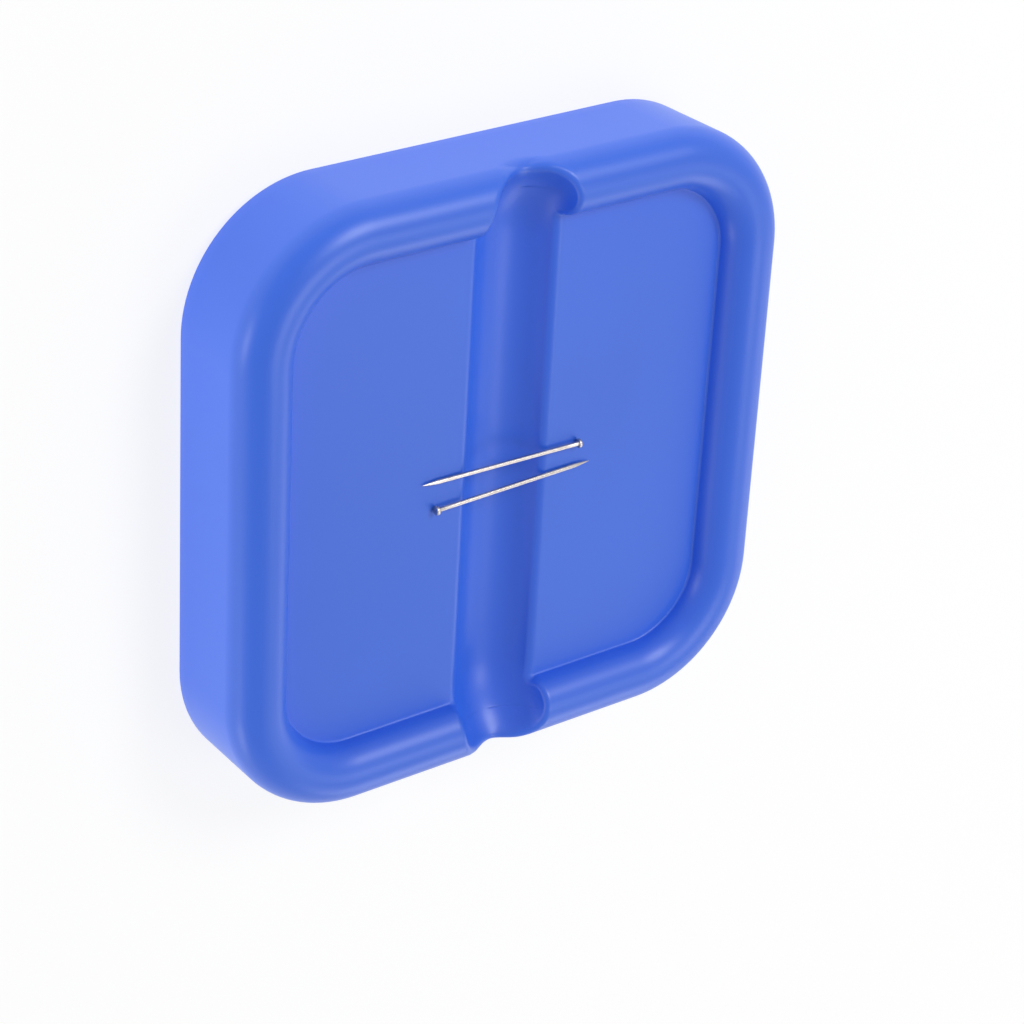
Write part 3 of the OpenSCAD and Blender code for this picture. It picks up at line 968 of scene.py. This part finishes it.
def glowing(tree, tone, strength):
    """A diffuse surface that also gives off light."""
    diffuse = tree.nodes.new("ShaderNodeBsdfDiffuse")
    diffuse.inputs["Color"].default_value = (*tone, 1.0)
    glow = tree.nodes.new("ShaderNodeEmission")
    glow.inputs["Strength"].default_value = strength
    both = tree.nodes.new("ShaderNodeAddShader")
    tree.links.new(diffuse.outputs[0], both.inputs[0])
    tree.links.new(glow.outputs[0], both.inputs[1])
    return both


def show(tree, output, lit, seen):
    """Gives diffuse rays one shader and the eye and reflections another."""
    mix = tree.nodes.new("ShaderNodeMixShader")
    tree.links.new(seen_rays(tree), mix.inputs[0])
    tree.links.new(lit.outputs[0], mix.inputs[1])
    tree.links.new(seen.outputs[0], mix.inputs[2])
    tree.links.new(mix.outputs[0], output.inputs["Surface"])


def make_floor():
    """A wide pale floor that shows white and keeps the bowl's shadow."""
    bm = bmesh.new()
    bmesh.ops.create_circle(bm, cap_ends=True, segments=96, radius=FLOOR_RADIUS)
    mesh = bpy.data.meshes.new("floor")
    bm.to_mesh(mesh)
    bm.free()
    floor = bpy.data.objects.new("floor", mesh)
    bpy.context.scene.collection.objects.link(floor)
    material = bpy.data.materials.new("studio_floor")
    material.use_nodes = True
    tree = material.node_tree
    tree.nodes.clear()
    output = tree.nodes.new("ShaderNodeOutputMaterial")
    lit = glowing(tree, bpy.context.scene.pin_bowl_colours.floor, FLOOR_GLOW)
    seen = glowing(tree, (FLOOR_SHADED,) * 3, FLOOR_SEEN)
    show(tree, output, lit, seen)
    mesh.materials.append(material)


def seen_rays(tree):
    """1 for camera, glossy and transmission rays, which see the white background."""
    path = tree.nodes.new("ShaderNodeLightPath")
    total = path.outputs["Is Camera Ray"]
    for label in ("Is Glossy Ray", "Is Transmission Ray"):
        both = tree.nodes.new("ShaderNodeMath")
        both.operation = "MAXIMUM"
        tree.links.new(total, both.inputs[0])
        tree.links.new(path.outputs[label], both.inputs[1])
        total = both.outputs[0]
    return total


def make_world(fill):
    """White for the eye and for reflections, and a soft fill for diffuse light."""
    world = bpy.data.worlds.new("studio")
    bpy.context.scene.world = world
    world.use_nodes = True
    tree = world.node_tree
    tree.nodes.clear()
    output = tree.nodes.new("ShaderNodeOutputWorld")
    white = tree.nodes.new("ShaderNodeBackground")
    white.inputs["Strength"].default_value = 1.0
    soft = tree.nodes.new("ShaderNodeBackground")
    soft.inputs["Strength"].default_value = fill
    show(tree, output, soft, white)


def make_lamp(name, azimuth, elevation, width, height, strength):
    """A soft rounded area lamp that points at the bowl from a compass direction."""
    back = facing(azimuth, elevation)
    data = bpy.data.lights.new(name, "AREA")
    data.shape = "ELLIPSE"
    data.size, data.size_y = width, height
    data.energy = strength
    lamp = bpy.data.objects.new(name, data)
    lamp.location = back * LAMP_DISTANCE
    lamp.rotation_mode = "QUATERNION"
    lamp.rotation_quaternion = back.to_track_quat("Z", "Y")
    bpy.context.scene.collection.objects.link(lamp)


def make_camera():
    """The camera at the photograph's viewing angle."""
    data = bpy.data.cameras.new("photo_view")
    data.sensor_width = CAMERA_SENSOR
    data.lens = CAMERA_LENS
    data.clip_start = 0.01
    camera = bpy.data.objects.new("photo_view", data)
    back = facing(CAMERA_AZIMUTH, CAMERA_ELEVATION)
    turn = (math.radians(90 - CAMERA_ELEVATION), 0.0, math.radians(CAMERA_AZIMUTH))
    level = Euler(turn).to_matrix()
    roll = Matrix.Rotation(math.radians(CAMERA_ROLL), 3, "Z")
    place = Vector(TARGET) + back * CAMERA_DISTANCE
    camera.matrix_world = Matrix.Translation(place) @ (level @ roll).to_4x4()
    bpy.context.scene.collection.objects.link(camera)
    bpy.context.scene.camera = camera


class PINBOWL_OT_stage(Operator):
    """Make the floor, the soft lamps, the world and the camera"""

    bl_idname = "pin_bowl.stage"
    bl_label = "Studio"

    def execute(self, context):
        scene = context.scene
        scene.view_settings.view_transform = "Standard"
        make_floor()
        make_world(WORLD_FILL)
        for lamp in LAMPS:
            make_lamp(*lamp)
        make_camera()
        return {"FINISHED"}


OPERATORS = (
    PINBOWL_OT_stage, PINBOWL_OT_moulded_bowl, PINBOWL_OT_cover, PINBOWL_OT_feet,
    PINBOWL_OT_screws, PINBOWL_OT_magnets, PINBOWL_OT_pins,
)


class PINBOWL_PT_panel(Panel):
    """Lists the steps that make the bowl"""

    bl_idname = "PINBOWL_PT_panel"
    bl_label = "Magnetic Pin Bowl"
    bl_space_type = "VIEW_3D"
    bl_region_type = "UI"
    bl_category = PANEL_NAME

    def draw(self, context):
        column = self.layout.column()
        for operator in OPERATORS:
            column.operator(operator.bl_idname)
        for group in (context.scene.pin_bowl_sizes, context.scene.pin_bowl_hardware,
                      context.scene.pin_bowl_colours):
            for name in group.__annotations__:
                column.prop(group, name)


CLASSES = (BowlSizes, HardwareSizes, BowlColours, *OPERATORS, PINBOWL_PT_panel)


def register():
    """Adds the classes and the scene's settings."""
    for item in CLASSES:
        bpy.utils.register_class(item)
    bpy.types.Scene.pin_bowl_sizes = PointerProperty(type=BowlSizes)
    bpy.types.Scene.pin_bowl_hardware = PointerProperty(type=HardwareSizes)
    bpy.types.Scene.pin_bowl_colours = PointerProperty(type=BowlColours)


def unregister():
    """Takes the classes and the scene's settings away."""
    del bpy.types.Scene.pin_bowl_colours
    del bpy.types.Scene.pin_bowl_hardware
    del bpy.types.Scene.pin_bowl_sizes
    for item in reversed(CLASSES):
        bpy.utils.unregister_class(item)


def main():
    """Makes every piece and the studio."""
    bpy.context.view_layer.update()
    register()
    bpy.ops.pin_bowl.stage()
    bpy.ops.pin_bowl.moulded_bowl()
    bpy.ops.pin_bowl.cover()
    bpy.ops.pin_bowl.feet()
    bpy.ops.pin_bowl.screws()
    bpy.ops.pin_bowl.magnets()
    bpy.ops.pin_bowl.pins()


if __name__ == "__main__":
    main()
